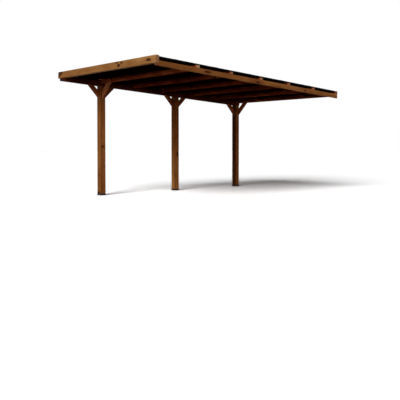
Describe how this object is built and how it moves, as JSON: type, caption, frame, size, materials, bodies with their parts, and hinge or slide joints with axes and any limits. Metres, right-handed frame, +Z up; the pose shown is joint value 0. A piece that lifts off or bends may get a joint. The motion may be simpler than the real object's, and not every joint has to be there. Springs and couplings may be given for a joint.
{
  "type": "wall-mounted timber carport",
  "caption": "Lean-to timber carport: flat board roof on rafters, a wall plate on one side and a braced beam on square posts on the other.",
  "frame": {"origin": "centre of the wall plate's flat face, where it lies on the wall", "axes": "+X along the wall from the high front end to the low rear end, +Y from the wall towards the posts, +Z up"},
  "size_m": [5.1468, 3.2, 2.5538],
  "materials": {
    "plate_wood": "stained softwood, planed",
    "beam_wood": "stained softwood, planed",
    "post_wood": "stained softwood, planed",
    "rafter_wood": "stained softwood, planed",
    "brace_wood": "stained softwood, planed",
    "board_wood": "stained softwood boards, planed",
    "roof_felt": "bituminous roofing felt",
    "shoe_steel": "dark painted steel"
  },
  "bodies": {
    "root": {"wall_plate": "plate_wood", "post_beam": "beam_wood", "post_front": "post_wood", "post_middle": "post_wood", "post_rear": "post_wood", "rafter_front": "rafter_wood", "rafter_2": "rafter_wood", "rafter_3": "rafter_wood", "rafter_4": "rafter_wood", "rafter_5": "rafter_wood", "rafter_6": "rafter_wood", "rafter_rear": "rafter_wood", "brace_front_post_fore": "brace_wood", "brace_front_post_aft": "brace_wood", "brace_front_post_cross": "brace_wood", "brace_middle_post_fore": "brace_wood", "brace_middle_post_aft": "brace_wood", "brace_rear_post_fore": "brace_wood", "brace_rear_post_cross": "brace_wood", "roof_boards": "board_wood", "roof_felt": "roof_felt", "shoe_front": "shoe_steel", "shoe_middle": "shoe_steel", "shoe_rear": "shoe_steel"}
  },
  "joints": []
}
